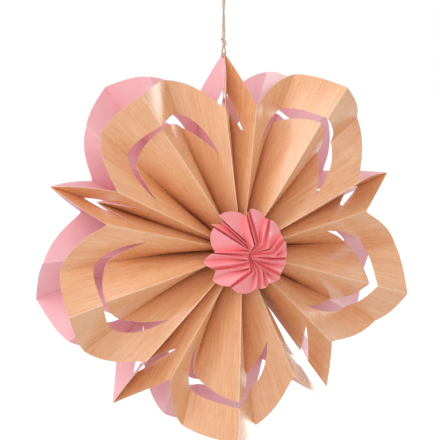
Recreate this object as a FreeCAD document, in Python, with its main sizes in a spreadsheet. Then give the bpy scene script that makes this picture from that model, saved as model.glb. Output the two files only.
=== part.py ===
import FreeCAD, Part
import math
import os

# A hanging pleated paper flower. The front is one strip of paper folded into thirty panels and
# opened into a full circle, and the back is a second strip that faces the other way and leans a
# little to the right. They touch along the five pointed tips. A small rosette sits on each middle.
# A doubled twine goes through the top tip, is knotted above it and ends in a hanging loop.
# The front faces -Y. The origin is the underside of the loop's top, where a hook carries it.

os.makedirs("parts", exist_ok=True)
doc = FreeCAD.newDocument("paper_flower")
sizes = doc.addObject("Spreadsheet::Sheet", "sizes")

SIZES = [
    # folded sheets, in mm
    ("sheet_thickness", 0.3),
    ("fold_width", 0.6),
    ("pleat_depth", 38.5),
    ("middle_radius", 6.0),
    ("fold_start_radius", 3.0),
    ("glue_gap", 0.1),
    # edge of the sheet, as distances from the axis along the folds
    ("tip_reach", 150.0),
    ("junction_reach", 111.5),
    ("petal_reach", 148.5),
    ("petal_roundness", 3.4),
    ("petal_fullness", 1.4),
    # arch-shaped slot in each petal, and chevron slot in each tip
    ("slot_end_reach", 77.0),
    ("slot_inner_reach", 116.0),
    ("slot_width", 4.5),
    ("slot_outer_power", 3.8),
    ("slot_inner_power", 2.0),
    ("tip_slot_end_reach", 87.0),
    ("tip_slot_inner_reach", 111.0),
    ("tip_slot_width", 11.5),
    # directions of the tips, counter-clockwise from +X as seen from the front, in degrees
    ("tip_top_angle", 90.0),
    ("tip_right_angle", 19.5),
    ("tip_seam_right_angle", -53.5),
    ("tip_seam_left_angle", -57.0),
    ("tip_low_left_angle", -128.0),
    ("tip_left_angle", -200.5),
    # directions of the middle fold of each petal, in degrees
    ("front_top_right_angle", 57.0),
    ("front_right_angle", -16.5),
    ("front_bottom_angle", -92.5),
    ("front_low_left_angle", -165.0),
    ("front_top_left_angle", -236.0),
    ("back_top_right_angle", 56.5),
    ("back_right_angle", -17.5),
    ("back_bottom_angle", -94.0),
    ("back_low_left_angle", -163.5),
    ("back_top_left_angle", -235.5),
    # turn from a tip to the fold beside it, and the share of the rest taken by the outer panel
    ("tip_half_angle", 6.5),
    ("seam_half_angle", 9.0),
    ("outer_panel_share", 0.55),
    # rise of each kind of fold toward its own side, in degrees
    ("junction_rise_angle", -2.0),
    ("valley_rise_angle", 8.0),
    ("middle_rise_angle", 2.5),
    # further rise of each petal as a whole, in degrees
    ("front_top_right_lift_angle", 1.0),
    ("front_right_lift_angle", -4.5),
    ("front_bottom_lift_angle", 0.5),
    ("front_low_left_lift_angle", 2.0),
    ("front_top_left_lift_angle", -0.5),
    ("back_top_right_lift_angle", 6.0),
    ("back_right_lift_angle", 3.0),
    ("back_bottom_lift_angle", 0.0),
    ("back_low_left_lift_angle", 1.5),
    ("back_top_left_lift_angle", 0.0),
    # turn of the valleys beside each middle fold, and the back sheet's lean to the right, in degrees
    ("bottom_valley_turn_angle", -2.0),
    ("other_valley_turn_angle", 1.0),
    ("back_lean_angle", 5.0),
    # card discs and small rosettes, in mm
    ("disc_radius", 16.0),
    ("disc_thickness", 0.5),
    ("rosette_pleats", 20),
    ("rosette_paper", 0.2),
    ("rosette_fold_width", 0.3),
    ("rosette_hole_radius", 3.0),
    ("rosette_ridge_reach", 33.5),
    ("rosette_valley_reach", 29.0),
    ("rosette_depth", 7.0),
    ("rosette_ridge_rise_angle", 6.0),
    ("rosette_valley_rise_angle", 9.0),
    # twine and knot, in mm
    ("strand_diameter", 1.25),
    ("strand_offset", 0.7),
    ("hole_clearance", 0.2),
    ("hole_inset", 4.0),
    ("tie_half_width", 1.5),
    ("tie_rise", 9.0),
    ("tie_shoulder", 4.6),
    ("tie_neck", 2.0),
    ("knot_height", 7.0),
    ("knot_radius", 1.4),
    ("knot_wrap_radius", 1.4),
    ("knot_wrap_tilt_angle", 22.0),
    ("knot_wrap_spacing", 3.2),
    ("knot_wrap_aside", 0.7),
]

for row, (alias, value) in enumerate(SIZES, start=1):
    sizes.set("A%d" % row, alias)
    sizes.set("B%d" % row, str(value))
    sizes.setAlias("B%d" % row, alias)
doc.recompute()


def size(alias):
    return float(sizes.get(alias))


# The strands wind half a turn round each other above the knot: height above it, and the turn
TWIST = [(0.0, 180.0), (7.0, 180.0), (13.0, 200.0), (17.0, 234.0)]
TWIST += [(20.5, 268.0), (24.5, 312.0), (30.0, 346.0), (36.0, 360.0)]
# Right half of the loop above the twist: x, and height above the knot
LOOP = [(2.6, 42.5), (3.6, 48.5), (2.2, 53.0)]

strand_radius = size("strand_diameter") / 2
hole_height = size("tip_reach") - size("hole_inset")
knot_bottom = hole_height + size("tie_rise")
knot_top = knot_bottom + size("knot_height")
hang_drop = knot_top + LOOP[-1][1] - strand_radius
flower_place = FreeCAD.Placement(FreeCAD.Vector(0, 0, -hang_drop), FreeCAD.Rotation())


# Folds and cut pattern

class Fold:
    """A straight fold: it starts near the axis and runs outward, rising toward the sheet's side.

    A lean carries it to the right by a share of its height.
    """

    def __init__(self, turn, rise, height, start_radius, lean=0.0):
        around = math.radians(turn)
        up = math.radians(rise)
        self.outward = FreeCAD.Vector(math.cos(around), 0, math.sin(around))
        self.clockwise = FreeCAD.Vector(math.sin(around), 0, -math.cos(around))
        self.start = self.outward * start_radius + FreeCAD.Vector(lean * height, -height, 0)
        self.line = self.outward * math.cos(up) + FreeCAD.Vector(lean * math.sin(up), -math.sin(up), 0)
        self.start_radius = start_radius

    def point(self, reach, sideways=0.0):
        return self.start + self.line * (reach - self.start_radius) + self.clockwise * sideways

    def front(self):
        return self.line.cross(self.clockwise).normalize() * -1


PETAL_NAMES = ["bottom", "low_left", "top_left", "top_right", "right"]


def petal_folds(first_tip, last_tip, first_half, last_half, middle, lift, valley_turn):
    """The tip fold that a petal starts with and its five own folds, clockwise, as (turn, rise, is_ridge)."""
    share = size("outer_panel_share")
    first = first_tip - first_half
    last = last_tip + last_half
    low = size("junction_rise_angle") + lift / 2
    valley = size("valley_rise_angle") + lift
    return [
        (first_tip, 0.0, False),
        (first, low, True),
        (first + (middle - first) * share + valley_turn, valley, False),
        (middle, size("middle_rise_angle") + lift, True),
        (last + (middle - last) * share + valley_turn, valley, False),
        (last, low, True),
    ]


def strip_folds(side):
    """All folds of the front or back sheet, clockwise from the seam's left side to its right side."""
    closed = size("tip_half_angle")
    opened = size("seam_half_angle")
    tips = [size("tip_seam_left_angle"), size("tip_low_left_angle"), size("tip_left_angle")]
    tips += [size("tip_%s_angle" % name) - 360 for name in ("top", "right", "seam_right")]
    folds = []
    for number, name in enumerate(PETAL_NAMES):
        middle = size("%s_%s_angle" % (side, name))
        if middle > tips[number]:
            middle -= 360
        lift = size("%s_%s_lift_angle" % (side, name))
        valley_turn = size("bottom_valley_turn_angle" if name == "bottom" else "other_valley_turn_angle")
        first_half = opened if number == 0 else closed
        last_half = opened if number == len(PETAL_NAMES) - 1 else closed
        folds += petal_folds(tips[number], tips[number + 1], first_half, last_half, middle, lift, valley_turn)
    folds.append((tips[-1], 0.0, False))
    return folds


# Where the tip slot's arms end and where the petal slot's ends begin, in panels from the tip
TIP_SLOT_END = 0.8
PETAL_SLOT_END = 1.27


def falling(top, end, share, power):
    return top - (top - end) * share ** power


def pattern(across):
    """Reach of the slot's inner side, its outer side and the sheet's edge, across panels from a tip."""
    place = across % 6
    place = min(place, 6 - place)
    junction = size("junction_reach")
    if place <= 1:
        edge = size("tip_reach") + (junction - size("tip_reach")) * place
    else:
        from_middle = (3 - place) / 2
        arch = max(0.0, 1 - from_middle ** size("petal_roundness")) ** size("petal_fullness")
        edge = junction + (size("petal_reach") - junction) * arch
    tip_end = size("tip_slot_end_reach")
    slot_end = size("slot_end_reach")
    if place <= TIP_SLOT_END:
        share = place / TIP_SLOT_END
        inner = falling(size("tip_slot_inner_reach"), tip_end, share, 1.0)
        outer = falling(size("tip_slot_inner_reach") + size("tip_slot_width"), tip_end, share, 1.0)
    elif place < PETAL_SLOT_END:
        share = (place - TIP_SLOT_END) / (PETAL_SLOT_END - TIP_SLOT_END)
        inner = falling(tip_end, slot_end, share, 1.0)
        outer = inner
    else:
        share = (3 - place) / (3 - PETAL_SLOT_END)
        top = size("slot_inner_reach")
        inner = falling(top, slot_end, share, size("slot_inner_power"))
        outer = falling(top + size("slot_width"), slot_end, share, size("slot_outer_power"))
    return inner, outer, edge


# Cuts across each panel, counted from its tip side: tip panels, shoulder panels and middle panels
PANEL_CUTS = [(0.0, 0.4, 0.8, 1.0), (0.0, 0.27, 0.5, 0.75, 1.0), (0.0, 0.35, 0.7, 1.0)]
# Shares of the way from the sheet's middle to the slot at which a panel is divided
RUN_SHARES = (0.0, 0.3, 0.65, 1.0)


class Column:
    """A line of points across the sheet, from its middle to its edge, each with a front side direction."""

    def __init__(self, points, fronts, is_open):
        self.points = points
        self.fronts = fronts
        self.is_open = is_open


def mitred(first, second):
    return (first + second) * (1 / (1 + first.dot(second)))


def panel_columns(left, right, blunt, reaches, cuts, is_open, at_left, at_right):
    """Columns of the panel between two folds. reaches(share) gives the distances out along the folds."""
    columns = []
    for share in cuts:
        outs = reaches(share)
        points = []
        fronts = []
        for out in outs:
            a = left.point(out, blunt / 2 if at_left else 0.0)
            b = right.point(out, -blunt / 2 if at_right else 0.0)
            points.append(a * (1 - share) + b * share)
            along = left.line * (1 - share) + right.line * share
            front = along.cross(b - a).normalize() * -1
            if share == 0.0 and at_left:
                front = mitred(front, left.front())
            if share == 1.0 and at_right:
                front = mitred(front, right.front())
            fronts.append(front)
        columns.append(Column(points, fronts, is_open(outs)))
    return columns


def folded_solid(columns, thickness, slot_rows, closed, flip):
    """A solid of the paper's thickness on a grid of columns. slot_rows are the two rows beside the slot."""
    vertices = []
    index = {}

    def vertex(point):
        key = (round(point.x, 5), round(point.y, 5), round(point.z, 5))
        if key not in index:
            index[key] = len(vertices)
            vertices.append(point)
        return index[key]

    rows = len(columns[0].points)
    front = []
    back = []
    for column in columns:
        offsets = [(p, f * (thickness / 2)) for p, f in zip(column.points, column.fronts)]
        front.append([vertex(p + f) for p, f in offsets])
        back.append([vertex(p - f) for p, f in offsets])
    facets = []

    def quad(a, b, c, d):
        for facet in ((a, b, c), (a, c, d)):
            if len(set(facet)) == 3:
                facets.append(facet[::-1] if flip else facet)

    count = len(columns)
    strips = [(k, (k + 1) % count) for k in range(count if closed else count - 1)]
    for k, n in strips:
        for row in range(rows - 1):
            if slot_rows and row == slot_rows[0]:
                continue
            quad(front[k][row], front[k][row + 1], front[n][row + 1], front[n][row])
            quad(back[k][row], back[n][row], back[n][row + 1], back[k][row + 1])
        walls = [(0, False), (rows - 1, True)]
        if slot_rows and (columns[k].is_open or columns[n].is_open):
            walls += [(slot_rows[0], True), (slot_rows[1], False)]
        for row, outward in walls:
            side = (front[k][row], back[k][row], back[n][row], front[n][row])
            quad(*(side if outward else side[::-1]))
    if not closed:
        for k, first in ((0, True), (count - 1, False)):
            for row in range(rows - 1):
                if slot_rows and row == slot_rows[0]:
                    continue
                side = (front[k][row], back[k][row], back[k][row + 1], front[k][row + 1])
                quad(*(side if first else side[::-1]))
    shape = Part.Shape()
    shape.makeShapeFromMesh((vertices, facets), 0.00001)
    return Part.Solid(Part.Shell(shape.Faces))


def folded_sheet(side):
    """The front or back pleated sheet of the flower, about its centre."""
    base = size("glue_gap") / 2 + size("sheet_thickness") / 2
    start = size("fold_start_radius")
    lean = math.tan(math.radians(size("back_lean_angle"))) if side == "back" else 0.0
    folds = []
    for turn, rise, is_ridge in strip_folds(side):
        height = base + (size("pleat_depth") if is_ridge else 0.0)
        folds.append(Fold(turn, rise, height, start, lean))
    columns = []
    last = len(folds) - 2
    for number in range(last + 1):
        kind = number % 6
        cuts = PANEL_CUTS[min(kind, 5 - kind)]
        if kind > 2:
            cuts = tuple(1 - cut for cut in reversed(cuts))

        def reaches(share):
            inner, outer, edge = pattern(number + share)
            middle = size("middle_radius")
            return [middle + (inner - middle) * s for s in RUN_SHARES] + [outer, edge]

        columns += panel_columns(folds[number], folds[number + 1], size("fold_width"), reaches, cuts,
                                 lambda outs: outs[-2] - outs[-3] > 0.001, number > 0, number < last)
    slot_row = len(RUN_SHARES) - 1
    solid = folded_solid(columns, size("sheet_thickness"), (slot_row, slot_row + 1), False, False)
    if side == "back":
        solid = solid.mirror(FreeCAD.Vector(0, 0, 0), FreeCAD.Vector(0, 1, 0))
    return solid


def piece(label, shape):
    """A computed piece, placed with the flower."""
    feature = doc.addObject("Part::Feature", label)
    feature.Label = label
    feature.Shape = shape
    feature.Placement = flower_place
    return feature


def with_twine_hole(label, folded):
    """The folded sheet with the hole that the twine goes through, from side to side below the top tip."""
    drill = doc.addObject("Part::Cylinder", label + "_hole")
    drill.setExpression("Radius", "sizes.strand_diameter / 2 + sizes.hole_clearance")
    drill.setExpression("Height", "sizes.tie_half_width * 2")
    turned = FreeCAD.Rotation(FreeCAD.Vector(0, 1, 0), 90)
    drill.Placement = flower_place * FreeCAD.Placement(
        FreeCAD.Vector(-size("tie_half_width"), 0, hole_height), turned)
    cut = doc.addObject("Part::Cut", label)
    cut.Label = label
    cut.Base = folded
    cut.Tool = drill
    return cut


front_sheet = with_twine_hole("front_sheet", piece("front_sheet_folded", folded_sheet("front")))
back_sheet = with_twine_hole("back_sheet", piece("back_sheet_folded", folded_sheet("back")))


# Card discs and small rosettes

def disc_height(side):
    """The disc's inner face, clear of the ridges where they have risen most under its rim."""
    steepest = max(rise for _, rise, is_ridge in strip_folds(side) if is_ridge)
    run = size("disc_radius") - size("fold_start_radius")
    ridge_height = size("pleat_depth") + size("sheet_thickness") + size("glue_gap") / 2
    return ridge_height + run * math.sin(math.radians(steepest)) + size("glue_gap") / 2


def card_disc(side):
    """A round card across the ends of the ridges. The rosette is stuck to it."""
    disc = doc.addObject("Part::Cylinder", side + "_disc")
    disc.Label = side + "_disc"
    disc.setExpression("Radius", "sizes.disc_radius")
    disc.setExpression("Height", "sizes.disc_thickness")
    toward = -1 if side == "front" else 1
    turned = FreeCAD.Rotation(FreeCAD.Vector(1, 0, 0), -90 * toward)
    disc.Placement = flower_place * FreeCAD.Placement(FreeCAD.Vector(0, toward * disc_height(side), 0), turned)
    return disc


def rosette(side):
    """A short strip pleated all round, with a rounded lobe between two valleys."""
    pleats = int(size("rosette_pleats"))
    base = disc_height(side) + size("disc_thickness") + size("glue_gap") / 2 + size("rosette_paper") / 2
    folds = []
    for number in range(2 * pleats):
        is_ridge = number % 2 == 1
        height = base + (size("rosette_depth") if is_ridge else 0.0)
        rise = size("rosette_ridge_rise_angle") if is_ridge else size("rosette_valley_rise_angle")
        folds.append(Fold(90.0 - number * 180.0 / pleats, rise, height, size("rosette_hole_radius")))
    columns = []
    for number, fold in enumerate(folds):
        following = folds[(number + 1) % len(folds)]

        def reaches(share):
            toward_ridge = share if number % 2 == 0 else 1 - share
            bulge = math.sin(math.radians(90 * toward_ridge))
            low = size("rosette_valley_reach")
            return [size("rosette_hole_radius"), low + (size("rosette_ridge_reach") - low) * bulge]

        columns += panel_columns(fold, following, size("rosette_fold_width"), reaches, (0.0, 0.5, 1.0),
                                 lambda outs: False, True, True)
    solid = folded_solid(columns, size("rosette_paper"), None, True, False)
    if side == "back":
        solid = solid.mirror(FreeCAD.Vector(0, 0, 0), FreeCAD.Vector(0, 1, 0))
    return solid


front_disc = card_disc("front")
back_disc = card_disc("back")
front_rosette = piece("front_rosette", rosette("front"))
back_rosette = piece("back_rosette", rosette("back"))


# Twine

def cord_path(label, points):
    """Straight runs joined by tangent arcs. Returns the path's feature and its smallest radius."""
    edges = []
    radii = []
    start = points[0]
    for before, corner, after in zip(points, points[1:], points[2:]):
        come = corner - before
        go = after - corner
        turn = come.getAngle(go)
        shorter = min(come.Length, go.Length)
        radius = 0.45 * shorter / math.tan(turn / 2)
        radii.append(radius)
        come.normalize()
        go.normalize()
        arc_start = corner - come * (0.45 * shorter)
        arc_end = corner + go * (0.45 * shorter)
        inward = (go - come).normalize()
        centre_gap = radius / math.cos(turn / 2)
        arc_middle = corner + inward * (centre_gap - radius)
        edges.append(Part.LineSegment(start, arc_start).toShape())
        edges.append(Part.Arc(arc_start, arc_middle, arc_end).toShape())
        start = arc_end
    edges.append(Part.LineSegment(start, points[-1]).toShape())
    path = piece(label + "_path", Part.Wire(edges))
    print(label, "smallest radius %.2f, length %.1f" % (min(radii), path.Shape.Length))
    return path


def cord(label, points):
    """A round cord along a path."""
    path = cord_path(label, points)
    section = doc.addObject("Part::Circle", label + "_section")
    section.setExpression("Radius", "sizes.strand_diameter / 2")
    facing = FreeCAD.Rotation(FreeCAD.Vector(0, 0, 1), points[1] - points[0])
    section.Placement = flower_place * FreeCAD.Placement(points[0], facing)
    sweep = doc.addObject("Part::Sweep", label)
    sweep.Label = label
    sweep.Sections = [section]
    sweep.Spine = (path, ["Edge%d" % (n + 1) for n in range(len(path.Shape.Edges))])
    sweep.Solid = True
    return sweep


def hanging_twine_points():
    """Up from the knot on the left, round the loop's top and down to the knot on the right."""
    offset = size("strand_offset")
    up = []
    down = []
    for height, turn in TWIST:
        swing = math.radians(turn)
        aside = FreeCAD.Vector(offset * math.cos(swing), offset * math.sin(swing), 0)
        level = FreeCAD.Vector(0, 0, knot_top + height)
        up.append(level + aside)
        down.append(level - aside)
    over = [FreeCAD.Vector(aside, 0, knot_top + height) for aside, height in LOOP]
    back_over = [FreeCAD.Vector(-aside, 0, knot_top + height) for aside, height in reversed(LOOP)]
    return up + over + back_over + down[::-1]


def tie_points():
    """From the knot straight down, past one side of the tip, through the hole and up the other side."""
    aside = size("tie_half_width")
    offset = size("strand_offset")
    shoulder = hole_height + size("tie_shoulder")
    neck = knot_bottom - size("tie_neck")
    left = [(-offset, knot_bottom), (-offset, neck), (-aside, shoulder), (-aside, hole_height)]
    right = [(-x, z) for x, z in reversed(left)]
    return [FreeCAD.Vector(x, 0, z) for x, z in left + right]


hanging_twine = cord("hanging_twine", hanging_twine_points())
tie_twine = cord("tie_twine", tie_points())


# Knot

def knot():
    """A round core with two turns of twine wound aslant round it, the upper one further left."""
    core = doc.addObject("Part::Cylinder", "knot_core")
    core.setExpression("Radius", "sizes.knot_radius")
    core.setExpression("Height", "sizes.knot_height")
    core.Placement = flower_place * FreeCAD.Placement(FreeCAD.Vector(0, 0, knot_bottom), FreeCAD.Rotation())
    wraps = []
    for name, side in (("lower", -1), ("upper", 1)):
        wrap = doc.addObject("Part::Torus", "knot_wrap_" + name)
        wrap.setExpression("Radius1", "sizes.knot_wrap_radius")
        wrap.setExpression("Radius2", "sizes.strand_diameter / 2")
        level = knot_bottom + size("knot_height") / 2 + side * size("knot_wrap_spacing") / 2
        tilt = FreeCAD.Rotation(FreeCAD.Vector(0, 1, 0), size("knot_wrap_tilt_angle"))
        aside = -side * size("knot_wrap_aside")
        wrap.Placement = flower_place * FreeCAD.Placement(FreeCAD.Vector(aside, 0, level), tilt)
        wraps.append(wrap)
    fused = doc.addObject("Part::MultiFuse", "twine_knot")
    fused.Label = "twine_knot"
    fused.Shapes = [core] + wraps
    return fused


twine_knot = knot()

# Build, check and write

doc.recompute()
for item in doc.Objects:
    if "Invalid" in item.State or "Error" in item.State:
        raise RuntimeError("%s failed: %s" % (item.Name, item.State))

NODES = [front_sheet, back_sheet, front_disc, back_disc, front_rosette, back_rosette,
         hanging_twine, tie_twine, twine_knot]
for node in NODES:
    shape = node.Shape
    if shape.isNull() or not shape.isValid() or len(shape.Solids) != 1:
        raise RuntimeError("%s is not one valid solid" % node.Label)
for node in NODES:
    node.Shape.exportStep("parts/%s.step" % node.Label)
    print(node.Label, "volume %.1f mm3, faces %d" % (node.Shape.Volume, len(node.Shape.Faces)))
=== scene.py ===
import math
import random
import bpy
import bmesh
from mathutils import Matrix, Vector


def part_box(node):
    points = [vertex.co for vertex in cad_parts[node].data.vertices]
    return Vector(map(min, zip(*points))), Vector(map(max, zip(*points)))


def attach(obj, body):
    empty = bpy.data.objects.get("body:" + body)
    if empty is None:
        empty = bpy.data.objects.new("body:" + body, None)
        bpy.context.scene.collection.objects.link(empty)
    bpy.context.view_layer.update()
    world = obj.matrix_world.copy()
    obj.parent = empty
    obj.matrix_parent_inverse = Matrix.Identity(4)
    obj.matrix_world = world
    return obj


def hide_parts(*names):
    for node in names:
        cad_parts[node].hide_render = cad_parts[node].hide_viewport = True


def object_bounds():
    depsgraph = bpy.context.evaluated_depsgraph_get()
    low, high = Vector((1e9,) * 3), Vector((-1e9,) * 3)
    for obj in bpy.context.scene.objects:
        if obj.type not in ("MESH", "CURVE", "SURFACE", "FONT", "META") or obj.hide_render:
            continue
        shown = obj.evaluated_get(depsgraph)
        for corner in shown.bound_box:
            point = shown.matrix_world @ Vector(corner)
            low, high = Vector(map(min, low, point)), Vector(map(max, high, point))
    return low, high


# A hanging pleated paper flower: a wood-print front sheet, a second sheet turned to the back,
# small coral rosettes on both middles, and a doubled jute twine. The front faces -Y.

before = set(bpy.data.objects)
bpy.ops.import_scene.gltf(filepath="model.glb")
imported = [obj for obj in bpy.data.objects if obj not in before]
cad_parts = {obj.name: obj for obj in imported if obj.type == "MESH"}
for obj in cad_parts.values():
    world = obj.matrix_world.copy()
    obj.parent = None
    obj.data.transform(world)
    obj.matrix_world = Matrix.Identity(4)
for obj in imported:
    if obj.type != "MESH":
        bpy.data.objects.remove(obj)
cad_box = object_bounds()
MM = 0.001
scene = bpy.context.scene

disc_low, disc_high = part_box("front_disc")
FLOWER_CENTRE = Vector((0, 0, (disc_low[2] + disc_high[2]) / 2))

# Folded sheet, in mm and degrees. Each petal has six panels, from one tip to the next.
PANELS_PER_PETAL = 6
MIDDLE_FOLD = 3
PANEL_WIDTH = 38.5
PAPER = 0.3
GLUE_GAP = 0.1
MIDDLE_RADIUS = 6.0
FOLD_START_RADIUS = 3.0
TIP_REACH = 150.0
JUNCTION_REACH = 111.5
PETAL_REACH = 148.5
PETAL_ROUNDNESS = 3.4
PETAL_FULLNESS = 1.4
SLOT_END_REACH = 77.0
SLOT_INNER_REACH = 116.0
SLOT_WIDTH = 4.5
SLOT_OUTER_POWER = 3.8
SLOT_INNER_POWER = 2.0
TIP_SLOT_END_REACH = 87.0
TIP_SLOT_INNER_REACH = 111.0
TIP_SLOT_WIDTH = 11.5
TIP_SLOT_END = 0.8
PETAL_SLOT_END = 1.27
TIP_HALF_TURN = 6.5
SEAM_HALF_TURN = 9.0
OUTER_PANEL_SHARE = 0.55
JUNCTION_RISE = -2.0
VALLEY_RISE = 8.0
MIDDLE_RISE = 2.5
BACK_LEAN = math.tan(math.radians(5.0))
# Tips from the left side of the open seam, clockwise
TIP_TURNS = [-57.0, -128.0, -200.5, -270.0, -340.5, -413.5]
TOP_TIP = 3
# For each petal, clockwise from the bottom: its middle fold's turn and lift, and its valleys' turn
FRONT_PETALS = [(-92.5, 0.5, -2.0), (-165.0, 2.0, 1.0), (-236.0, -0.5, 1.0)]
FRONT_PETALS += [(-303.0, 1.0, 1.0), (-376.5, -4.5, 1.0)]
BACK_PETALS = [(-94.0, 0.0, -2.0), (-163.5, 1.5, 1.0), (-235.5, 0.0, 1.0)]
BACK_PETALS += [(-303.5, 6.0, 1.0), (-377.5, 3.0, 1.0)]
# How far each petal's inner flap leans back and its rim comes forward where the slot is widest, in mm
FLAP_SAG = [0.8, 4.4, 4.0, 3.2, 3.8]
RIM_SWELL = [0.8, 1.0, 2.0, 4.0, 3.2]
# Panels that bow further: the one left of the top tip, and the top right petal's one after its middle fold,
# as their number and how far they bow toward the back, in mm, so below 0 is toward the front
FRONT_BOWS = [(17, -2.4), (21, -2.6)]
# How far every panel swells toward its own side, halfway from the middle to the slot, in mm
PANEL_SWELL = 2.8
# Each panel's random bow, and its curl that grows faster outward, in mm either way at the petals' reach,
# then the least and the most of the swell that it gets
RANDOM_BOW = 1.0
RANDOM_CURL = 0.8
SWELL_SHARES = (0.7, 1.2)

# Twine, in mm
STRAND = 1.25
YARN_TWIST_LENGTH = 3.2
# Sides of the yarn's section, then its steps along and the depth of its grooves, as shares of its width
YARN_SIDES = 16
YARN_STEP = 0.22
YARN_GROOVE = 0.2
STRAND_OFFSET = 0.7
KNOT_HEIGHT = 7.0
HOLE_INSET = 4.0
TIE_HALF_WIDTH = 1.5
TIE_RISE = 9.0
TIE_SHOULDER = 4.6
TIE_NECK = 2.0
KNOT_STRAND = STRAND * 1.15
KNOT_WRAP_RADIUS = 1.35
KNOT_WRAP_RISE = 3.8
KNOT_WRAP_ASIDE = 0.42
KNOT_WRAP_SLANT = 0.6
KNOT_CORE_WIDTH = 2.3
KNOT_CORE_TWIST_LENGTH = 9.0
# How the two strands wind above the knot: height above its top, and turn in degrees
TWIST = [(0.0, 180.0), (7.0, 180.0), (13.0, 200.0), (17.0, 234.0)]
TWIST += [(20.5, 268.0), (24.5, 312.0), (30.0, 346.0), (36.0, 360.0)]
# The loop's right half: distance from its middle, and height above the knot's top
LOOP = [(2.6, 42.5), (3.6, 48.5), (2.2, 53.0)]

# Camera: to the flower's left and a little above, with the flower's centre at this pixel
CAMERA_LEFT = math.radians(22.0)
CAMERA_UP = math.radians(9.0)
CAMERA_DISTANCE = 1.56
IMAGE_SIZE = 440
PIXEL = 0.00078
CENTRE_PIXEL = (223.7, 244.8)


def make_camera():
    data = bpy.data.cameras.new("camera")
    data.sensor_width = 36.0
    half_view = IMAGE_SIZE / 2 * PIXEL / CAMERA_DISTANCE
    data.lens = data.sensor_width / 2 / half_view
    camera = bpy.data.objects.new("camera", data)
    scene.collection.objects.link(camera)
    toward = Vector((-math.sin(CAMERA_LEFT) * math.cos(CAMERA_UP),
                     -math.cos(CAMERA_LEFT) * math.cos(CAMERA_UP), math.sin(CAMERA_UP)))
    camera.location = FLOWER_CENTRE + toward * CAMERA_DISTANCE
    turn_right = math.atan((CENTRE_PIXEL[0] - IMAGE_SIZE / 2) * PIXEL / CAMERA_DISTANCE)
    turn_down = math.atan((CENTRE_PIXEL[1] - IMAGE_SIZE / 2) * PIXEL / CAMERA_DISTANCE)
    facing = (-toward).to_track_quat("-Z", "Y").to_matrix()
    turned = facing @ Matrix.Rotation(turn_right, 3, "Y") @ Matrix.Rotation(turn_down, 3, "X")
    camera.rotation_euler = turned.to_euler()
    scene.camera = camera


make_camera()


# Node helpers

def new_material(name):
    material = bpy.data.materials.new(name)
    material.use_nodes = True
    tree = material.node_tree
    tree.nodes.clear()
    shader = tree.nodes.new("ShaderNodeBsdfPrincipled")
    output = tree.nodes.new("ShaderNodeOutputMaterial")
    tree.links.new(shader.outputs[0], output.inputs[0])
    return material, tree, shader


def add_node(tree, kind, inputs=(), **settings):
    node = tree.nodes.new(kind)
    for name, value in settings.items():
        setattr(node, name, value)
    for name, value in dict(inputs).items():
        if isinstance(value, bpy.types.NodeSocket):
            tree.links.new(value, node.inputs[name])
        else:
            node.inputs[name].default_value = value
    return node


def math_node(tree, operation, first, second=0.0):
    return add_node(tree, "ShaderNodeMath", {0: first, 1: second}, operation=operation).outputs[0]


def colour_mix(tree, share, first, second, blend="MIX"):
    node = add_node(tree, "ShaderNodeMix", data_type="RGBA", blend_type=blend)
    for index, value in ((0, share), (6, first), (7, second)):
        if isinstance(value, bpy.types.NodeSocket):
            tree.links.new(value, node.inputs[index])
        else:
            node.inputs[index].default_value = value
    return node.outputs[2]


def ramp(tree, value, low, high):
    node = add_node(tree, "ShaderNodeMapRange", {"Value": value, "From Min": low, "From Max": high})
    return node.outputs["Result"]


def rgb(red, green, blue):
    """A colour written as the 0 to 255 values that it shows."""
    def linear(part):
        part /= 255
        return part / 12.92 if part <= 0.04045 else ((part + 0.055) / 1.055) ** 2.4
    return (linear(red), linear(green), linear(blue), 1.0)


def group_socket(group, name, kind, is_input, value=None):
    direction = "INPUT" if is_input else "OUTPUT"
    socket = group.interface.new_socket(name=name, in_out=direction, socket_type=kind)
    if value is not None:
        socket.default_value = value


def paper_fibre_group():
    """Soft mottling and a fine fibre relief for every paper, on coordinates in panel widths."""
    group = bpy.data.node_groups.new("paper_fibre", "ShaderNodeTree")
    group_socket(group, "Vector", "NodeSocketVector", True)
    group_socket(group, "Scale", "NodeSocketFloat", True, 1.0)
    group_socket(group, "Mottle", "NodeSocketFloat", False)
    group_socket(group, "Relief", "NodeSocketFloat", False)
    source = group.nodes.new("NodeGroupInput")
    result = group.nodes.new("NodeGroupOutput")
    scaled = add_node(group, "ShaderNodeVectorMath", {0: source.outputs[0]}, operation="SCALE")
    group.links.new(source.outputs[1], scaled.inputs["Scale"])
    vector = scaled.outputs[0]
    mottle = add_node(group, "ShaderNodeTexNoise", {"Vector": vector, "Scale": 2.2, "Detail": 3.0})
    fibre = add_node(group, "ShaderNodeTexNoise", {"Vector": vector, "Scale": 70.0, "Detail": 4.0})
    group.links.new(mottle.outputs["Fac"], result.inputs["Mottle"])
    group.links.new(fibre.outputs["Fac"], result.inputs["Relief"])
    return group


PAPER_FIBRE = paper_fibre_group()


def place_fibre(tree, vector, scale):
    node = tree.nodes.new("ShaderNodeGroup")
    node.node_tree = PAPER_FIBRE
    tree.links.new(vector, node.inputs["Vector"])
    node.inputs["Scale"].default_value = scale
    return node


# Scale of the fibre on coordinates in metres, about as on the sheets
FIBRE_PER_METRE = 26.0
# Width of the pale fold lines as a share of a panel, and how far they turn pale: worn paper together with a
# painted highlight on the crests
WEAR_AND_HIGHLIGHT_WIDTH = 0.05
WEAR_AND_HIGHLIGHT_SHARE = 0.7


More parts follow.
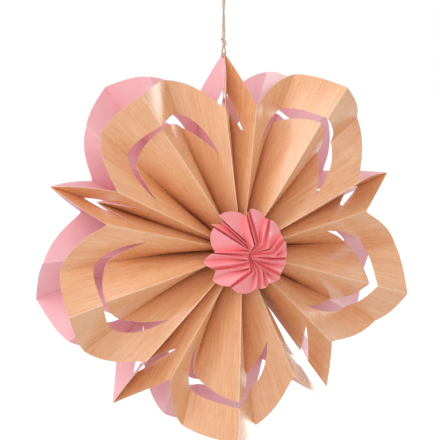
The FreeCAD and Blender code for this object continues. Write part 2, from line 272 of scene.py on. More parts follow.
def fold_wear_and_highlight_group():
    """1 along the raised folds, where paper is worn pale and a painted highlight lies on the crests, and 0
    between them, with an uneven width.
    """
    group = bpy.data.node_groups.new("fold_wear_and_highlight", "ShaderNodeTree")
    group_socket(group, "Vector", "NodeSocketVector", True)
    group_socket(group, "Spacing", "NodeSocketFloat", True, 1.0)
    group_socket(group, "Shift", "NodeSocketFloat", True, 0.0)
    group_socket(group, "Wear and Highlight", "NodeSocketFloat", False)
    source = group.nodes.new("NodeGroupInput")
    result = group.nodes.new("NodeGroupOutput")
    parts = add_node(group, "ShaderNodeSeparateXYZ", {0: source.outputs[0]})
    shifted = math_node(group, "ADD", parts.outputs[0], source.outputs[2])
    across = math_node(group, "DIVIDE", shifted, source.outputs[1])
    away = math_node(group, "PINGPONG", across, 1.0)
    patches = add_node(group, "ShaderNodeTexNoise", {"Vector": source.outputs[0], "Scale": 9.0})
    reach = math_node(group, "MULTIPLY", patches.outputs["Fac"], WEAR_AND_HIGHLIGHT_WIDTH)
    near = add_node(group, "ShaderNodeMapRange", {"Value": away, "From Max": reach, "To Min": 1.0,
                                                  "To Max": 0.0})
    group.links.new(near.outputs["Result"], result.inputs["Wear and Highlight"])
    return group


FOLD_WEAR_AND_HIGHLIGHT = fold_wear_and_highlight_group()


def worn_and_highlit(tree, vector, spacing, shift, colour, pale):
    """The colour with pale lines along its raised folds: worn paper together with a painted highlight on
    the crests.
    """
    node = tree.nodes.new("ShaderNodeGroup")
    node.node_tree = FOLD_WEAR_AND_HIGHLIGHT
    tree.links.new(vector, node.inputs["Vector"])
    node.inputs["Spacing"].default_value = spacing
    node.inputs["Shift"].default_value = shift
    return colour_mix(tree, math_node(tree, "MULTIPLY", node.outputs["Wear and Highlight"], WEAR_AND_HIGHLIGHT_SHARE), colour, pale)


ROUGHNESS_CHANGE = 0.16
PAPER_RELIEF = 0.0001
JUTE_RELIEF = 0.0002


def finish_paper(tree, shader, fibre, colour, roughness, specular, relief):
    """Links a paper's colour, roughness variation and fibre relief to its shader."""
    tree.links.new(colour, shader.inputs["Base Color"])
    change = math_node(tree, "MULTIPLY", fibre.outputs["Mottle"], ROUGHNESS_CHANGE)
    rough = math_node(tree, "ADD", change, roughness - ROUGHNESS_CHANGE / 2)
    tree.links.new(rough, shader.inputs["Roughness"])
    shader.inputs["Specular IOR Level"].default_value = specular
    bump = add_node(tree, "ShaderNodeBump", {"Height": fibre.outputs["Relief"], "Strength": relief})
    bump.inputs["Distance"].default_value = PAPER_RELIEF
    tree.links.new(bump.outputs[0], shader.inputs["Normal"])


def wood_print_paper():
    """Light wood print: fine grain along the folds, slow bands across, short pores, pale ridges that are
    worn and carry a painted highlight.
    """
    material, tree, shader = new_material("wood_print_paper")
    pattern = add_node(tree, "ShaderNodeUVMap", uv_map="strip").outputs[0]

    def stretched_noise(across, along, detail, **more):
        stretch = {"Vector": pattern, "Scale": (across, along, 1.0)}
        mapped = add_node(tree, "ShaderNodeMapping", stretch).outputs[0]
        inputs = {"Vector": mapped, "Scale": 1.0, "Detail": detail, **more}
        return add_node(tree, "ShaderNodeTexNoise", inputs)

    bands = stretched_noise(2.6, 0.3, 2.0)
    grain = stretched_noise(38.0, 0.8, 5.0, Roughness=0.65, Distortion=0.2)
    pores = stretched_noise(95.0, 3.2, 2.0)
    base = colour_mix(tree, ramp(tree, bands.outputs["Fac"], 0.35, 0.65), WOOD_LIGHT, WOOD_MID)
    grain_share = math_node(tree, "MULTIPLY", ramp(tree, grain.outputs["Fac"], 0.42, 0.64), 0.6)
    pore_share = math_node(tree, "MULTIPLY", ramp(tree, pores.outputs["Fac"], 0.56, 0.68), 0.4)
    lined = colour_mix(tree, pore_share, colour_mix(tree, grain_share, base, WOOD_GRAIN), WOOD_PORE)
    fibre = place_fibre(tree, pattern, 1.0)
    # Pale lines on the raised folds: worn paper together with a painted highlight on the crests
    colour = worn_and_highlit(tree, pattern, 1.0, 1.0, lined, WOOD_WORN_HIGHLIGHT)
    finish_paper(tree, shader, fibre, colour, roughness=0.27, specular=0.9, relief=0.06)
    return material


def plain_paper(name, light, deep, roughness, specular=0.5, fold_spacing=None, coordinates="UV"):
    """Evenly coloured satin paper with soft mottling, and with pale worn lines carrying a painted highlight
    along its folds where their spacing is given.
    """
    material, tree, shader = new_material(name)
    if coordinates == "UV":
        pattern = add_node(tree, "ShaderNodeUVMap", uv_map="strip").outputs[0]
        scale = 1.0
    else:
        pattern = add_node(tree, "ShaderNodeTexCoord").outputs["Object"]
        scale = FIBRE_PER_METRE
    fibre = place_fibre(tree, pattern, scale)
    colour = colour_mix(tree, ramp(tree, fibre.outputs["Mottle"], 0.35, 0.65), light, deep)
    if fold_spacing:
        # Pale lines along the folds: worn paper together with a painted highlight
        colour = worn_and_highlit(tree, pattern, fold_spacing, 0.0, colour, PINK_WORN_HIGHLIGHT)
    finish_paper(tree, shader, fibre, colour, roughness, specular, relief=0.12)
    return material


def jute():
    """Dry natural fibre with pale and brown strands."""
    material, tree, shader = new_material("jute")
    pattern = add_node(tree, "ShaderNodeTexCoord").outputs["Object"]
    stretch = {"Vector": pattern, "Scale": (900.0, 900.0, 240.0)}
    mapped = add_node(tree, "ShaderNodeMapping", stretch).outputs[0]
    strands = add_node(tree, "ShaderNodeTexNoise", {"Vector": mapped, "Scale": 1.0, "Detail": 4.0})
    colour = colour_mix(tree, ramp(tree, strands.outputs["Fac"], 0.3, 0.7), JUTE_PALE, JUTE_BROWN)
    tree.links.new(colour, shader.inputs["Base Color"])
    shader.inputs["Roughness"].default_value = 0.85
    bump = add_node(tree, "ShaderNodeBump", {"Height": strands.outputs["Fac"], "Strength": 0.5})
    bump.inputs["Distance"].default_value = JUTE_RELIEF
    tree.links.new(bump.outputs[0], shader.inputs["Normal"])
    return material


# Pale colours along the raised folds: worn paper together with a painted highlight on the crests
WOOD_WORN_HIGHLIGHT = rgb(252, 220, 190)
PINK_WORN_HIGHLIGHT = rgb(255, 222, 222)
JUTE_PALE = rgb(240, 220, 202)
JUTE_BROWN = rgb(186, 156, 134)
WOOD_LIGHT = rgb(245, 192, 146)
WOOD_MID = rgb(239, 178, 129)
WOOD_GRAIN = rgb(222, 142, 90)
WOOD_PORE = rgb(184, 102, 58)
# Distance between a rosette's creases on its pattern
ROSETTE_FOLD_SPACING = 0.2
WOOD_PAPER = wood_print_paper()
PINK_PAPER = plain_paper("pink_paper", rgb(255, 203, 208), rgb(254, 194, 200), roughness=0.42,
                         specular=0.3, fold_spacing=1.0)
PAPER_EDGE = plain_paper("paper_edge", rgb(240, 214, 190), rgb(232, 204, 180), roughness=0.7)
# The rosette's crests get the pale fold lines too: worn paper together with a painted highlight
CORAL_PAPER = plain_paper("coral_paper", rgb(255, 163, 167), rgb(253, 146, 151), roughness=0.3,
                          specular=0.6, fold_spacing=ROSETTE_FOLD_SPACING)
CARD = plain_paper("card", rgb(226, 216, 200), rgb(214, 202, 184), roughness=0.8,
                   specular=0.4, coordinates="Object")
JUTE = jute()


# Folds of the big sheets

class Fold:
    """A straight fold that starts near the axis and runs outward, in mm about the flower's centre."""

    def __init__(self, turn, rise, height, lean):
        around = math.radians(turn)
        up = math.radians(rise)
        outward = Vector((math.cos(around), 0, math.sin(around)))
        self.start = outward * FOLD_START_RADIUS + Vector((lean * height, -height, 0))
        self.line = outward * math.cos(up) + Vector((lean * math.sin(up), -math.sin(up), 0))

    def point(self, reach):
        return self.start + self.line * (reach - FOLD_START_RADIUS)


def strip_folds(petals, lean):
    base = GLUE_GAP / 2 + PAPER / 2
    folds = []
    for number, (middle, lift, valley_turn) in enumerate(petals):
        first = TIP_TURNS[number] - (SEAM_HALF_TURN if number == 0 else TIP_HALF_TURN)
        last = TIP_TURNS[number + 1] + (SEAM_HALF_TURN if number == len(petals) - 1 else TIP_HALF_TURN)
        low = JUNCTION_RISE + lift / 2
        valley = VALLEY_RISE + lift
        near = first + (middle - first) * OUTER_PANEL_SHARE + valley_turn
        far = last + (middle - last) * OUTER_PANEL_SHARE + valley_turn
        folds.append(Fold(TIP_TURNS[number], 0.0, base, lean))
        folds.append(Fold(first, low, base + PANEL_WIDTH, lean))
        folds.append(Fold(near, valley, base, lean))
        folds.append(Fold(middle, MIDDLE_RISE + lift, base + PANEL_WIDTH, lean))
        folds.append(Fold(far, valley, base, lean))
        folds.append(Fold(last, low, base + PANEL_WIDTH, lean))
    folds.append(Fold(TIP_TURNS[-1], 0.0, base, lean))
    return folds


def falling(top, end, share, power):
    return top - (top - end) * share ** power


def from_tip(across):
    """Panels from the nearest tip."""
    place = across % PANELS_PER_PETAL
    return min(place, PANELS_PER_PETAL - place)


def cut_pattern(across):
    """Reach of the slot's two sides and of the sheet's edge, across panels from the first tip."""
    place = from_tip(across)
    if place <= 1:
        edge = falling(TIP_REACH, JUNCTION_REACH, place, 1.0)
    else:
        from_middle = (MIDDLE_FOLD - place) / (MIDDLE_FOLD - 1)
        arch = max(0.0, 1 - from_middle ** PETAL_ROUNDNESS) ** PETAL_FULLNESS
        edge = JUNCTION_REACH + (PETAL_REACH - JUNCTION_REACH) * arch
    if place <= TIP_SLOT_END:
        inner = falling(TIP_SLOT_INNER_REACH, TIP_SLOT_END_REACH, place / TIP_SLOT_END, 1.0)
        widest = TIP_SLOT_INNER_REACH + TIP_SLOT_WIDTH
        outer = falling(widest, TIP_SLOT_END_REACH, place / TIP_SLOT_END, 1.0)
    elif place < PETAL_SLOT_END:
        share = (place - TIP_SLOT_END) / (PETAL_SLOT_END - TIP_SLOT_END)
        inner = falling(TIP_SLOT_END_REACH, SLOT_END_REACH, share, 1.0)
        outer = inner
    else:
        share = (MIDDLE_FOLD - place) / (MIDDLE_FOLD - PETAL_SLOT_END)
        inner = falling(SLOT_INNER_REACH, SLOT_END_REACH, share, SLOT_INNER_POWER)
        outer = falling(SLOT_INNER_REACH + SLOT_WIDTH, SLOT_END_REACH, share, SLOT_OUTER_POWER)
    return inner, outer, edge


def slot_arch(across):
    """0 at the ends of a petal's slot and 1 at its middle fold."""
    share = (from_tip(across) - PETAL_SLOT_END) / (MIDDLE_FOLD - PETAL_SLOT_END)
    share = min(1.0, max(0.0, share))
    return share * (2 - share)


# Lines across each kind of panel from its tip side: tip panel, shoulder panel and middle panel
PANEL_CUTS = [
    [0.0, 0.02, 0.06, 0.13, 0.25, 0.4, 0.55, 0.68, 0.76, 0.8, 0.88, 0.94, 0.98, 1.0],
    [0.0, 0.02, 0.06, 0.13, 0.2, 0.27, 0.31, 0.38, 0.47, 0.57, 0.68, 0.79, 0.88, 0.94, 0.98, 1.0],
    [0.0, 0.02, 0.06, 0.13, 0.24, 0.36, 0.48, 0.6, 0.72, 0.83, 0.92, 0.98, 1.0],
]
INNER_ROWS = [0.0, 0.08, 0.17, 0.27, 0.38, 0.49, 0.6, 0.7, 0.79, 0.87, 0.94, 0.985, 1.0]
RIM_ROWS = [0.0, 0.03, 0.14, 0.28, 0.42, 0.56, 0.7, 0.82, 0.87, 0.97, 1.0]
# The twine's hole starts at this row of the rim
HOLE_RIM_ROW = 0.82
# Where a petal's inner flap starts to lean, in mm
FLAP_START_REACH = 55.0
# Folds sharper than this, in degrees, keep their crease
SHEET_SHARP_ANGLE = 40
ROSETTE_SHARP_ANGLE = 35
# Points nearer than this are joined, in metres
MERGE_DISTANCE = 0.000002
YARN_MERGE_DISTANCE = 0.0000005


def grid_mesh(columns, rows, place):
    """A bmesh grid whose points are set by place(column, row), with the pattern's places kept as UV."""
    bm = bmesh.new()
    bmesh.ops.create_grid(bm, x_segments=columns - 1, y_segments=rows - 1, size=0.5)
    strip = bm.loops.layers.uv.new("strip")
    cell = {}
    for vert in bm.verts:
        column = round((vert.co.x + 0.5) * (columns - 1))
        row = round((vert.co.y + 0.5) * (rows - 1))
        cell[vert] = (column, row)
    pattern = {}
    for vert, (column, row) in cell.items():
        vert.co, pattern[vert] = place(column, row)
    for face in bm.faces:
        for loop in face.loops:
            loop[strip].uv = pattern[loop.vert]
    return bm, cell


def add_piece(name, bm, materials):
    mesh = bpy.data.meshes.new(name)
    bm.to_mesh(mesh)
    bm.free()
    for material in materials:
        mesh.materials.append(material)
    piece = bpy.data.objects.new(name, mesh)
    scene.collection.objects.link(piece)
    return piece


def thicken(piece, thickness, sharp_angle):
    """Gives the sheet its paper thickness, with its reverse and its cut edge in their own materials."""
    shell = piece.modifiers.new("paper", "SOLIDIFY")
    shell.thickness = thickness
    shell.offset = 0.0
    shell.use_even_offset = False
    shell.material_offset = 1
    shell.material_offset_rim = 2
    graph = bpy.context.evaluated_depsgraph_get()
    solid = bpy.data.meshes.new_from_object(piece.evaluated_get(graph))
    piece.modifiers.clear()
    old = piece.data
    piece.data = solid
    bpy.data.meshes.remove(old)
    solid.polygons.foreach_set("use_smooth", [True] * len(solid.polygons))
    solid.set_sharp_from_angle(angle=math.radians(sharp_angle))
    solid.name = piece.name


def sheet_stations(panels):
    """The grid's lines across the whole strip, as panels from its first tip."""
    stations = []
    for number in range(panels):
        kind = number % PANELS_PER_PETAL
        cuts = PANEL_CUTS[min(kind, PANELS_PER_PETAL - 1 - kind)]
        if kind >= MIDDLE_FOLD:
            cuts = [1 - cut for cut in reversed(cuts)]
        stations += [(number, cut) for cut in cuts[:-1]]
    return stations + [(panels - 1, 1.0)]


def pleated_sheet(name, petals, is_back, seed):
    folds = strip_folds(petals, BACK_LEAN if is_back else 0.0)
    panels = len(folds) - 1
    rng = random.Random(seed)
    bows = [rng.uniform(-RANDOM_BOW, RANDOM_BOW) for _ in range(panels)]
    swells = [PANEL_SWELL * rng.uniform(*SWELL_SHARES) for _ in range(panels)]
    if not is_back:
        for number, bow in FRONT_BOWS:
            bows[number] = bow
    curls = [rng.uniform(-RANDOM_CURL, RANDOM_CURL) for _ in range(panels)]
    stations = sheet_stations(panels)
    side = -1 if is_back else 1

    def place(column, row):
        number, across = stations[column]
        inner, outer, edge = cut_pattern(number + across)
        arch = slot_arch(number + across)
        petal = min(number // PANELS_PER_PETAL, len(petals) - 1)
        if row < len(INNER_ROWS):
            out = MIDDLE_RADIUS + (inner - MIDDLE_RADIUS) * INNER_ROWS[row]
            onward = max(0.0, out - FLAP_START_REACH) / (inner - FLAP_START_REACH)
            forward = -FLAP_SAG[petal] * arch * onward ** 2
        else:
            out = outer + (edge - outer) * RIM_ROWS[row - len(INNER_ROWS)]
            forward = RIM_SWELL[petal] * arch
        left = folds[number].point(out)
        right = folds[number + 1].point(out)
        along = folds[number].line.lerp(folds[number + 1].line, across)
        facing = along.cross(right - left).normalized()
        outward = out / PETAL_REACH
        bend = (bows[number] + curls[number] * outward) * outward ** 2
        swell_place = min(1.0, out / SLOT_INNER_REACH)
        bend -= swells[number] * 4 * swell_place * (1 - swell_place)
        spot = left.lerp(right, across) + facing * bend * math.sin(math.pi * across)
        spot.y = (spot.y - forward) * side
        return FLOWER_CENTRE + spot * MM, (number + across, out / PANEL_WIDTH)

    bm, cell = grid_mesh(len(stations), len(INNER_ROWS) + len(RIM_ROWS), place)
    slot_row = len(INNER_ROWS) - 1
    hole_row = len(INNER_ROWS) + RIM_ROWS.index(HOLE_RIM_ROW)
    top_tip = stations.index((TOP_TIP * PANELS_PER_PETAL, 0.0))
    doomed = []
    for face in bm.faces:
        row = min(cell[vert][1] for vert in face.verts)
        column = min(cell[vert][0] for vert in face.verts)
        if row == slot_row or (row == hole_row and column in (top_tip - 1, top_tip)):
            doomed.append(face)
    bmesh.ops.delete(bm, geom=doomed, context="FACES")
    bmesh.ops.remove_doubles(bm, verts=bm.verts, dist=MERGE_DISTANCE)
    face_side(bm, side)
    piece = add_piece(name, bm, [WOOD_PAPER, PINK_PAPER, PAPER_EDGE])
    thicken(piece, PAPER * MM, SHEET_SHARP_ANGLE)
    return piece


def face_side(bm, side):
    """Turns the faces toward the front for side 1 and toward the back for side -1."""
    bm.normal_update()
    toward_back = sum(face.normal.y * face.calc_area() for face in bm.faces)
    if toward_back * side > 0:
        bmesh.ops.reverse_faces(bm, faces=bm.faces)


# Creases of a rosette, clockwise, as seen from the camera: crest or valley, then the image places of its
# inner end, of a point between, and of its outer end, and how far the rim after it bulges, in pixels
CREST, VALLEY = 1, 0
CREASES = [
    (CREST, (249.5, 252.3), (234, 252.5), (215.5, 252.6), 0.2),
    (VALLEY, (247, 251.0), (232, 251.2), (214.5, 251.0), 4.0),
    (CREST, (249, 250.0), (231, 239.5), (213.5, 228.2), 0.2),
    (VALLEY, (247, 249.2), (231, 238.5), (218, 229.5), 0.4),
    (CREST, (246.5, 247.8), (228.5, 233.0), (211, 224.2), 0.8),
    (VALLEY, (247.2, 246.8), (231.5, 232.5), (223, 225.5), 0.2),
    (CREST, (248.5, 245.8), (232.5, 231.2), (221.5, 221.5), 0.2),
    (VALLEY, (248.5, 244.5), (235, 231.2), (224, 221.5), 0.2),
    (CREST, (248, 241.8), (231.5, 228.0), (219.3, 215.6), 4.0),
    (VALLEY, (245, 243.0), (243.6, 228.0), (243.4, 214.6), 0.2),
    (CREST, (254, 245.5), (249.8, 232.0), (246.3, 218.5), 0.2),
    (VALLEY, (254.8, 246.0), (251, 231.0), (246.5, 210.5), 0.2),
    (CREST, (256.2, 244.8), (252.5, 232.0), (248, 214.5), 0.2),
    (VALLEY, (258.2, 244.6), (254.8, 231.0), (249, 211.5), 0.2),
    (CREST, (260.3, 243.8), (256, 228.0), (250.2, 209.0), 3.2),
    (VALLEY, (258.8, 241.0), (260.5, 229.5), (265.5, 218.3), 0.2),
    (CREST, (261.5, 244.6), (264.8, 232.0), (267.8, 219.0), 0.4),
    (VALLEY, (264.5, 246.0), (267, 233.0), (269.3, 220.8), 0.2),
    (CREST, (268.8, 248.2), (269.4, 234.0), (271.2, 220.0), 2.6),
    (VALLEY, (270.3, 249.0), (275.5, 242.0), (281.3, 234.0), 0.2),
    (CREST, (271.8, 249.5), (277, 243.0), (283, 236.5), 0.4),
    (VALLEY, (273.5, 253.0), (278, 247.0), (283.6, 240.3), 0.2),
    (CREST, (275.2, 257.0), (280, 249.5), (286.2, 241.8), 0.6),
    (VALLEY, (273.5, 257.2), (280, 254.0), (286.6, 249.5), 0.6),
    (CREST, (266, 256.2), (276, 257.4), (287, 256.8), 0.2),
    (VALLEY, (255, 257.0), (270, 258.6), (286, 258.6), 0.2),
    (CREST, (257, 259.0), (271, 261.6), (286.8, 260.6), 0.6),
    (VALLEY, (263, 263.5), (273, 265.0), (285, 265.8), 0.2),
    (CREST, (260, 262.0), (271, 266.8), (282, 272.8), 0.6),
    (VALLEY, (252.5, 259.2), (265, 267.5), (280.3, 275.3), 0.2),
    (CREST, (256, 264.6), (267, 271.5), (281, 277.6), 0.6),
    (VALLEY, (262.5, 270.0), (268.5, 275.0), (277.5, 281.0), 0.8),
    (CREST, (265, 270.8), (267.8, 277.0), (269, 283.5), 0.8),
    (VALLEY, (263.2, 272.0), (265, 280.0), (266.5, 287.3), 0.4),
    (CREST, (262.6, 270.5), (262.8, 280.0), (261.6, 289.0), 0.4),
    (VALLEY, (257.8, 268.5), (259.2, 279.0), (259, 289.0), 0.2),
    (CREST, (256.5, 270.5), (257, 280.0), (256.3, 288.8), 0.4),
    (VALLEY, (254.5, 274.5), (252.5, 284.0), (249, 293.2), 3.0),
    (CREST, (254.8, 272.6), (245, 280.0), (232, 288.2), 0.4),
    (VALLEY, (251.5, 272.0), (241, 279.5), (230.5, 287.0), 0.2),
    (CREST, (249.8, 270.2), (240.5, 276.5), (229.3, 286.3), 3.0),
    (VALLEY, (246.5, 269.6), (229, 272.5), (212.8, 280.0), 0.4),
    (CREST, (249.5, 267.6), (233, 269.6), (216, 270.8), 0.2),
    (VALLEY, (247, 263.0), (231, 267.0), (214, 269.3), 0.2),
    (CREST, (248.2, 261.6), (229, 264.5), (208.5, 266.8), 1.2),
    (VALLEY, (244.5, 260.4), (226, 258.8), (204, 261.0), 0.6),
    (CREST, (248.2, 259.6), (229, 255.8), (211.5, 253.8), 0.2),
    (VALLEY, (247.5, 255.0), (232, 254.6), (214, 253.4), 0.2),
]
ROSETTE_EYE = (249.0, 254.8)
# Paper, distance from the card disc and radius of the eye's small opening, in mm
ROSETTE_PAPER = 0.2
ROSETTE_CLEARANCE = 0.1
ROSETTE_EYE_RADIUS = 0.6
ROSETTE_COLUMNS = [0.0, 0.1, 0.3, 0.5, 0.7, 0.9]
ROSETTE_ROWS = [0.0, 0.5, 1.0, 1.15, 1.3, 1.5, 1.7, 1.85, 2.0, 2.15, 2.3, 2.5, 2.7, 2.85, 2.95, 3.0]
# Heights above the card disc, in mm, of crests and valleys at the eye, inner end, between and outer end
CREST_HEIGHTS = (2.2, 9.6, 8.8, 6.6)
VALLEY_HEIGHTS = (1.8, 4.4, 3.6, 2.2)


def seen_at(image_place, height):
    """Where a point that stands this far in front of the middle plane lies in x and z, in mm."""
    nearer = height * MM * math.cos(CAMERA_LEFT) * math.cos(CAMERA_UP) / CAMERA_DISTANCE
    mm_per_pixel = PIXEL / MM * (1 - nearer)
    aside = (image_place[0] - CENTRE_PIXEL[0]) * mm_per_pixel
    above = (CENTRE_PIXEL[1] - image_place[1]) * mm_per_pixel
    x = (aside - height * math.sin(CAMERA_LEFT)) / math.cos(CAMERA_LEFT)
    sunk = height * math.cos(CAMERA_LEFT) - x * math.sin(CAMERA_LEFT)
    return Vector((x, -height, (above + sunk * math.sin(CAMERA_UP)) / math.cos(CAMERA_UP)))


def rosette(name, node, is_back):
    """A short strip gathered all round into crushed pleats that lean on each other."""
    low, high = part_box(node)
    base = min(abs(low[1]), abs(high[1])) / MM + ROSETTE_CLEARANCE
    lines = []
    for kind, inner, between, outer, bulge in CREASES:
        heights = CREST_HEIGHTS if kind == CREST else VALLEY_HEIGHTS
        places = zip((ROSETTE_EYE, inner, between, outer), heights)
        lines.append(([seen_at(place, base + height) for place, height in places], bulge * PIXEL / MM))
    columns = len(lines) * len(ROSETTE_COLUMNS) + 1
    turned = Matrix.Rotation(math.pi, 3, "Z") if is_back else Matrix.Identity(3)

    def place(column, row):
        number, step = divmod(column, len(ROSETTE_COLUMNS))
        across = ROSETTE_COLUMNS[step]
        first, bulge = lines[number % len(lines)]
        second, _ = lines[(number + 1) % len(lines)]
        along = ROSETTE_ROWS[row]
        stage = min(2, int(along))
        left = first[stage].lerp(first[stage + 1], along - stage)
        right = second[stage].lerp(second[stage + 1], along - stage)
        spot = left.lerp(right, across)
        if along > 1:
            outward = (first[3].lerp(second[3], across) - first[1].lerp(second[1], across)).normalized()
            spot += outward * bulge * 4 * across * (1 - across) * ((along - 1) / 2) ** 1.5
        if stage == 0:
            eye = first[0].lerp(second[0], across)
            spot += (left.lerp(right, across) - eye).normalized() * ROSETTE_EYE_RADIUS * (1 - along)
        pattern_across = number * ROSETTE_FOLD_SPACING + across * ROSETTE_FOLD_SPACING
        return FLOWER_CENTRE + turned @ spot * MM, (pattern_across, along / 3)

    bm, _ = grid_mesh(columns, len(ROSETTE_ROWS), place)
    bmesh.ops.remove_doubles(bm, verts=bm.verts, dist=MERGE_DISTANCE)
    face_side(bm, -1 if is_back else 1)
    piece = add_piece(name, bm, [CORAL_PAPER, CORAL_PAPER, PAPER_EDGE])
    thicken(piece, ROSETTE_PAPER * MM, ROSETTE_SHARP_ANGLE)
    return piece


# Twine

KNOT_TOP = TIP_REACH - HOLE_INSET + TIE_RISE + KNOT_HEIGHT
KNOT_BOTTOM = KNOT_TOP - KNOT_HEIGHT


def hanging_route():
    up = []
    down = []
    for height, turn in TWIST:
        swing = math.radians(turn)
        aside = Vector((STRAND_OFFSET * math.cos(swing), STRAND_OFFSET * math.sin(swing), 0))
        level = Vector((0, 0, KNOT_TOP + height))
        up.append(level + aside)
        down.append(level - aside)
    over = [Vector((aside, 0, KNOT_TOP + height)) for aside, height in LOOP]
    back_over = [Vector((-aside, 0, KNOT_TOP + height)) for aside, height in reversed(LOOP)]
    return up + over + back_over + down[::-1]


def tie_route():
    shoulder = TIP_REACH - HOLE_INSET + TIE_SHOULDER
    left = [(-STRAND_OFFSET, KNOT_BOTTOM), (-STRAND_OFFSET, KNOT_BOTTOM - TIE_NECK),
            (-TIE_HALF_WIDTH, shoulder), (-TIE_HALF_WIDTH, TIP_REACH - HOLE_INSET)]
    right = [(-x, z) for x, z in reversed(left)]
    return [Vector((x, 0, z)) for x, z in left + right]


def nurbs_points(name, route):
    """Points along the smooth line that the route's points steer, in metres."""
    curve = bpy.data.curves.new(name, "CURVE")
    curve.dimensions = "3D"
    curve.resolution_u = 12
    spline = curve.splines.new("NURBS")
    spline.points.add(len(route) - 1)
    for point, place in zip(spline.points, route):
        spot = FLOWER_CENTRE + place * MM
        point.co = (spot.x, spot.y, spot.z, 1.0)
    spline.order_u = 3
    spline.use_endpoint_u = True
    line = bpy.data.objects.new(name, curve)
    scene.collection.objects.link(line)
    graph = bpy.context.evaluated_depsgraph_get()
    mesh = bpy.data.meshes.new_from_object(line.evaluated_get(graph))
    points = [vert.co.copy() for vert in mesh.vertices]
    bpy.data.meshes.remove(mesh)
    bpy.data.objects.remove(line)
    bpy.data.curves.remove(curve)
    return points


def even_points(points, step):
    """The same line with points a step apart."""
    lengths = [0.0]
    for a, b in zip(points, points[1:]):
        lengths.append(lengths[-1] + (b - a).length)
    count = max(2, round(lengths[-1] / step))
    result = []
    index = 0
    for number in range(count + 1):
        goal = lengths[-1] * number / count
        while index < len(lengths) - 2 and lengths[index + 1] < goal:
            index += 1
        share = (goal - lengths[index]) / (lengths[index + 1] - lengths[index])
        result.append(points[index].lerp(points[index + 1], min(1.0, share)))
    return result, lengths[-1]


def yarn(name, points, diameter, twist_length):
    """A two-ply yarn: a lobed section that turns as it follows the points, with closed ends."""
    line, length = even_points(points, diameter * YARN_STEP)
    tangents = []
    for index in range(len(line)):
        tangents.append((line[min(index + 1, len(line) - 1)] - line[max(index - 1, 0)]).normalized())
    side = tangents[0].orthogonal().normalized()
    sides = []
    for tangent in tangents:
        side = (side - tangent * side.dot(tangent)).normalized()
        sides.append(side.copy())
    step = length / (len(line) - 1)

    def place(column, row):
        turn = 2 * math.pi * column / YARN_SIDES
        twist = 2 * math.pi * row * step / twist_length
        lobe = 1 - YARN_GROOVE + YARN_GROOVE * abs(math.cos(turn))
        across = sides[row]
        up = tangents[row].cross(across)
        spot = across * math.cos(turn + twist) + up * math.sin(turn + twist)
        return line[row] + spot * (diameter / 2 * lobe), (column / YARN_SIDES, row * step / diameter)

    bm, _ = grid_mesh(YARN_SIDES + 1, len(line), place)
    bmesh.ops.remove_doubles(bm, verts=bm.verts, dist=YARN_MERGE_DISTANCE)
    bmesh.ops.holes_fill(bm, edges=[edge for edge in bm.edges if edge.is_boundary], sides=YARN_SIDES)
    bmesh.ops.recalc_face_normals(bm, faces=bm.faces)
    for face in bm.faces:
        face.smooth = True
    piece = add_piece(name, bm, [JUTE])
    return piece, length


def knot_route():
    """Two turns wound aslant round the strands, the upper one further left."""
    points = []
    for step in range(17):
        turn = math.radians(-60 + step * 45)
        rise = (step / 16 - 0.5) * KNOT_WRAP_RISE
        x = KNOT_WRAP_RADIUS * math.cos(turn) - KNOT_WRAP_ASIDE * rise
        y = KNOT_WRAP_RADIUS * math.sin(turn)
        spot = Vector((x, y, rise - KNOT_WRAP_SLANT * math.cos(turn)))
        points.append(Vector((0, 0, KNOT_TOP - KNOT_HEIGHT / 2)) + spot)
    return points


def make_twine():
    hanging_line = nurbs_points("hanging_line", hanging_route())
    tie_line = nurbs_points("tie_line", tie_route())
    knot_line = nurbs_points("knot_line", knot_route())
    core_route = [Vector((x, 0, KNOT_BOTTOM + z)) for x, z in ((0, 0), (0.5, 2), (-0.5, 5), (0, 7))]
    core_line = nurbs_points("knot_core_line", core_route)
    twine, length = yarn("hanging_twine_yarn", hanging_line, STRAND * MM, YARN_TWIST_LENGTH * MM)
    tie, _ = yarn("tie_twine_yarn", tie_line, STRAND * MM, YARN_TWIST_LENGTH * MM)
    knot, _ = yarn("knot_yarn", knot_line, KNOT_STRAND * MM, YARN_TWIST_LENGTH * MM)
    core, _ = yarn("knot_core_yarn", core_line, KNOT_CORE_WIDTH * MM, KNOT_CORE_TWIST_LENGTH * MM)
    replaced = ((twine, ["hanging_twine"]), (tie, ["tie_twine"]), (knot, ["twine_knot"]), (core, []))
    for piece, nodes in replaced:
        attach(piece, "root")
        if nodes:
            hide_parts(*nodes)


make_twine()

SHEETS = [
    ("front_petals", "front_sheet", FRONT_PETALS, False, 3, "wood_look_paper"),
    ("back_petals", "back_sheet", BACK_PETALS, True, 5, "pink_paper"),
]
for name, node, petals, is_back, seed, finish in SHEETS:
    sheet = pleated_sheet(name, petals, is_back, seed)
    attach(sheet, "root")
    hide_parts(node)

ROSETTES = [("front_middle", "front_rosette", False), ("back_middle", "back_rosette", True)]
for name, node, is_back in ROSETTES:
    bloom = rosette(name, node, is_back)
    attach(bloom, "root")
    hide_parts(node)

for node in ("front_disc", "back_disc"):
    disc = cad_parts[node]
    disc.data.materials.clear()
    disc.data.materials.append(CARD)


# Floor, background and light

FLOOR_DROP = 0.35
FLOOR_HEIGHT = cad_box[0][2] - FLOOR_DROP
WORLD_STRENGTH = 0.64
# The floor's colour as light meets it, then its colour and glow where it is seen
FLOOR_COLOUR = (0.82, 0.82, 0.82, 1)
FLOOR_SEEN_COLOUR = (0.3, 0.3, 0.3, 1)
FLOOR_GLOW = 0.92
WHITE = (1, 1, 1, 1)


def ray_share(tree):
    """1 for rays that show the background: to the camera, in gloss and through clear things."""
    path = tree.nodes.new("ShaderNodeLightPath")
    gloss = math_node(tree, "MAXIMUM", path.outputs["Is Camera Ray"], path.outputs["Is Glossy Ray"])
    return math_node(tree, "MAXIMUM", gloss, path.outputs["Is Transmission Ray"])


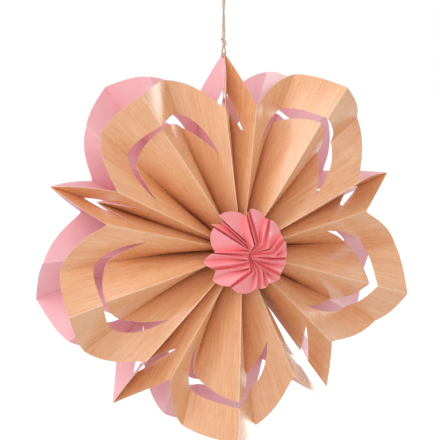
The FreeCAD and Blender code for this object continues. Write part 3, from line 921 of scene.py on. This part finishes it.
def make_floor():
    bm = bmesh.new()
    bmesh.ops.create_grid(bm, x_segments=1, y_segments=1, size=4.0)
    bmesh.ops.translate(bm, verts=bm.verts, vec=(0, 0, FLOOR_HEIGHT))
    material = bpy.data.materials.new("floor")
    material.use_nodes = True
    tree = material.node_tree
    tree.nodes.clear()
    plain = add_node(tree, "ShaderNodeBsdfDiffuse", {"Color": FLOOR_COLOUR})
    shadowed = add_node(tree, "ShaderNodeBsdfDiffuse", {"Color": FLOOR_SEEN_COLOUR})
    glow = add_node(tree, "ShaderNodeEmission", {"Color": WHITE, "Strength": FLOOR_GLOW})
    seen = add_node(tree, "ShaderNodeAddShader")
    tree.links.new(shadowed.outputs[0], seen.inputs[0])
    tree.links.new(glow.outputs[0], seen.inputs[1])
    mixed = add_node(tree, "ShaderNodeMixShader", {0: ray_share(tree)})
    tree.links.new(plain.outputs[0], mixed.inputs[1])
    tree.links.new(seen.outputs[0], mixed.inputs[2])
    output = tree.nodes.new("ShaderNodeOutputMaterial")
    tree.links.new(mixed.outputs[0], output.inputs[0])
    floor = add_piece("floor", bm, [material])


def make_world():
    world = bpy.data.worlds.new("world")
    world.use_nodes = True
    tree = world.node_tree
    tree.nodes.clear()
    light = add_node(tree, "ShaderNodeBackground", {"Color": WHITE, "Strength": WORLD_STRENGTH})
    shown = add_node(tree, "ShaderNodeBackground", {"Color": WHITE, "Strength": 1.0})
    mixed = add_node(tree, "ShaderNodeMixShader", {0: ray_share(tree)})
    tree.links.new(light.outputs[0], mixed.inputs[1])
    tree.links.new(shown.outputs[0], mixed.inputs[2])
    output = tree.nodes.new("ShaderNodeOutputWorld")
    tree.links.new(mixed.outputs[0], output.inputs[0])
    scene.world = world


# Soft boxes round the flower: turn to the right of straight ahead and rise in degrees, distance in metres,
# power in watts, width and height in metres, and whether it gives more than gloss
LAMPS = [
    ("key", -70, 38, 1.8, 8.5, 1.0, 1.2, True),
    ("top", -30, 74, 1.8, 2.0, 1.0, 1.0, True),
    ("front_fill", -26, 14, 2.4, 10.0, 1.2, 1.2, True),
    ("right_edge", 106, 3, 1.5, 17.0, 0.85, 1.0, False),
]


def make_lamp(name, turn, rise, distance, power, width, height, gives_all):
    data = bpy.data.lights.new(name, "AREA")
    data.shape = "RECTANGLE"
    data.energy = power
    data.size = width
    data.size_y = height
    lamp = bpy.data.objects.new(name, data)
    scene.collection.objects.link(lamp)
    around = math.radians(turn)
    up = math.radians(rise)
    toward = Vector((math.sin(around) * math.cos(up), -math.cos(around) * math.cos(up), math.sin(up)))
    lamp.location = FLOWER_CENTRE + toward * distance
    lamp.rotation_euler = (-toward).to_track_quat("-Z", "Y").to_euler()
    lamp.visible_diffuse = gives_all


make_floor()
make_world()
for lamp_facts in LAMPS:
    make_lamp(*lamp_facts)
scene.view_settings.view_transform = "Standard"
